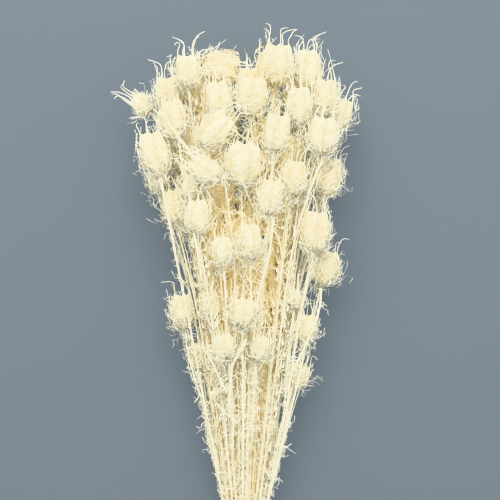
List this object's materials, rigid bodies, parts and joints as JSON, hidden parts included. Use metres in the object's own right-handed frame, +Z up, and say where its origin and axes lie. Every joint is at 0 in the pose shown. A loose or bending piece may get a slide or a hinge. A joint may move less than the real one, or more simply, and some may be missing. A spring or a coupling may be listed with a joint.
{
  "type": "bunch of dried nigella seed pods",
  "caption": "Tied bunch of dried love-in-a-mist lying on its side: inflated, ribbed seed pods with horns and thread bracts on thin stems drawn together by twine.",
  "frame": {"origin": "middle of the underside of the bunch's box, on the surface that it lies on", "axes": "+Y along the bunch from the cut ends to the seed heads, +Z up from the surface, +X across"},
  "size_m": [0.1944, 0.5178, 0.1005],
  "materials": {
    "dried_nigella": "matte, dried and bleached",
    "natural_twine": "matte, twisted plant fibre"
  },
  "bodies": {
    "root": {"pod_stem_01": "dried_nigella", "pod_stem_02": "dried_nigella", "pod_stem_03": "dried_nigella", "pod_stem_04": "dried_nigella", "pod_stem_05": "dried_nigella", "pod_stem_06": "dried_nigella", "pod_stem_07": "dried_nigella", "pod_stem_08": "dried_nigella", "pod_stem_09": "dried_nigella", "pod_stem_10": "dried_nigella", "pod_stem_11": "dried_nigella", "pod_stem_12": "dried_nigella", "pod_stem_13": "dried_nigella", "pod_stem_14": "dried_nigella", "pod_stem_15": "dried_nigella", "pod_stem_16": "dried_nigella", "pod_stem_17": "dried_nigella", "pod_stem_18": "dried_nigella", "pod_stem_19": "dried_nigella", "pod_stem_20": "dried_nigella", "pod_stem_21": "dried_nigella", "pod_stem_22": "dried_nigella", "pod_stem_23": "dried_nigella", "pod_stem_24": "dried_nigella", "pod_stem_25": "dried_nigella", "pod_stem_26": "dried_nigella", "pod_stem_27": "dried_nigella", "pod_stem_28": "dried_nigella", "pod_stem_29": "dried_nigella", "pod_stem_30": "dried_nigella", "pod_stem_31": "dried_nigella", "pod_stem_32": "dried_nigella", "pod_stem_33": "dried_nigella", "pod_stem_34": "dried_nigella", "pod_stem_35": "dried_nigella", "pod_stem_36": "dried_nigella", "pod_stem_37": "dried_nigella", "pod_stem_38": "dried_nigella", "pod_stem_39": "dried_nigella", "pod_stem_40": "dried_nigella", "pod_stem_41": "dried_nigella", "pod_stem_42": "dried_nigella", "pod_stem_43": "dried_nigella", "pod_stem_44": "dried_nigella", "pod_stem_45": "dried_nigella", "pod_stem_46": "dried_nigella", "pod_stem_47": "dried_nigella", "pod_stem_48": "dried_nigella", "pod_stem_49": "dried_nigella", "pod_stem_50": "dried_nigella", "pod_stem_51": "dried_nigella", "pod_stem_52": "dried_nigella", "pod_stem_53": "dried_nigella", "twine_tie": "natural_twine"}
  },
  "joints": []
}
